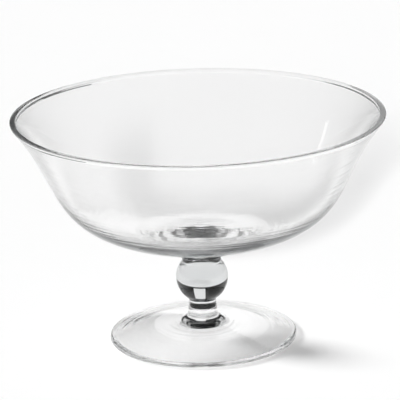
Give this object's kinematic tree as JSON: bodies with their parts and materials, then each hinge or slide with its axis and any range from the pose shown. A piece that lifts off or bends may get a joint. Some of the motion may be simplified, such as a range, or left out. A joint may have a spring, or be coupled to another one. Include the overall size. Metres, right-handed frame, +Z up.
{
  "type": "trifle bowl",
  "caption": "Footed glass trifle bowl: a wide bowl with a flared, flat-topped lip on a solid ball stem and a round foot, for serving layered desserts or fruit.",
  "frame": {"origin": "middle of the plane that the foot stands on", "axes": "+Z up along the axis that the bowl, the ball and the foot are turned about; X and Y are equal, because the object is round"},
  "size_m": [0.25, 0.25, 0.1564],
  "materials": {
    "clear_glass": "fire polished, clear with a very slight cool tint"
  },
  "bodies": {
    "root": {"bowl": "clear_glass", "ball_stem": "clear_glass", "foot": "clear_glass"}
  },
  "joints": []
}
